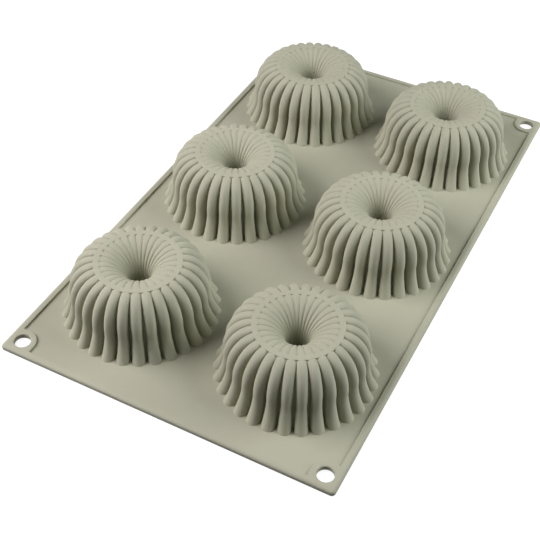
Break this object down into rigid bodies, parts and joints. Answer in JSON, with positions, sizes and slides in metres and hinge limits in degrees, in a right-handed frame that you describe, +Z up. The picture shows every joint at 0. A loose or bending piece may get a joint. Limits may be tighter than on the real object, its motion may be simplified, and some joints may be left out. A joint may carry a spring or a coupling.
{
  "type": "silicone cake mould",
  "caption": "Flexible silicone baking mould: a rimmed rectangular sheet with corner eyelets carries fluted ring-cake cups, each with a flat crown and a funnel core, standing mouths down.",
  "frame": {"origin": "middle of the underside, on the table that the mouths rest on", "axes": "+Z up from the mouths to the crowns, +Y along the long side, +X along the short side"},
  "size_m": [0.175, 0.3, 0.0331],
  "materials": {
    "silicone": "satin grey-green silicone"
  },
  "bodies": {
    "middle_row": {"middle_sheet": "silicone", "left_middle_rim": "silicone", "right_middle_rim": "silicone", "middle_left_cup_wall": "silicone", "middle_right_cup_wall": "silicone"},
    "front_row": {"front_sheet": "silicone", "left_front_rim": "silicone", "right_front_rim": "silicone", "front_left_cup_wall": "silicone", "front_right_cup_wall": "silicone", "front_rim": "silicone", "front_left_eyelet": "silicone", "front_right_eyelet": "silicone"},
    "back_row": {"back_sheet": "silicone", "left_back_rim": "silicone", "right_back_rim": "silicone", "back_left_cup_wall": "silicone", "back_right_cup_wall": "silicone", "back_rim": "silicone", "back_left_eyelet": "silicone", "back_right_eyelet": "silicone"},
    "front_left_core": {"front_left_cup_core": "silicone"},
    "front_right_core": {"front_right_cup_core": "silicone"},
    "middle_left_core": {"middle_left_cup_core": "silicone"},
    "middle_right_core": {"middle_right_cup_core": "silicone"},
    "back_left_core": {"back_left_cup_core": "silicone"},
    "back_right_core": {"back_right_cup_core": "silicone"}
  },
  "joints": [
    {"name": "front_row_flex", "type": "hinge", "parent": "middle_row", "child": "front_row", "pos_m": [0, -0.04775, 0.0025], "axis": [-1, 0, 0], "range_deg": [0, 60], "stiffness_Nm_per_rad": 0.015},
    {"name": "back_row_flex", "type": "hinge", "parent": "middle_row", "child": "back_row", "pos_m": [0, 0.04775, 0.0025], "axis": [1, 0, 0], "range_deg": [0, 60], "stiffness_Nm_per_rad": 0.015},
    {"name": "front_left_cup_press", "type": "slide", "parent": "front_row", "child": "front_left_core", "axis": [0, 0, -1], "range_m": [0, 0.0075], "stiffness_N_per_m": 600, "springref_m": -0.0005, "deforming": ["front_left_cup_wall"]},
    {"name": "front_right_cup_press", "type": "slide", "parent": "front_row", "child": "front_right_core", "axis": [0, 0, -1], "range_m": [0, 0.0075], "stiffness_N_per_m": 600, "springref_m": -0.0005, "deforming": ["front_right_cup_wall"]},
    {"name": "middle_left_cup_press", "type": "slide", "parent": "middle_row", "child": "middle_left_core", "axis": [0, 0, -1], "range_m": [0, 0.0075], "stiffness_N_per_m": 600, "springref_m": -0.0005, "deforming": ["middle_left_cup_wall"]},
    {"name": "middle_right_cup_press", "type": "slide", "parent": "middle_row", "child": "middle_right_core", "axis": [0, 0, -1], "range_m": [0, 0.0075], "stiffness_N_per_m": 600, "springref_m": -0.0005, "deforming": ["middle_right_cup_wall"]},
    {"name": "back_left_cup_press", "type": "slide", "parent": "back_row", "child": "back_left_core", "axis": [0, 0, -1], "range_m": [0, 0.0075], "stiffness_N_per_m": 600, "springref_m": -0.0005, "deforming": ["back_left_cup_wall"]},
    {"name": "back_right_cup_press", "type": "slide", "parent": "back_row", "child": "back_right_core", "axis": [0, 0, -1], "range_m": [0, 0.0075], "stiffness_N_per_m": 600, "springref_m": -0.0005, "deforming": ["back_right_cup_wall"]}
  ]
}
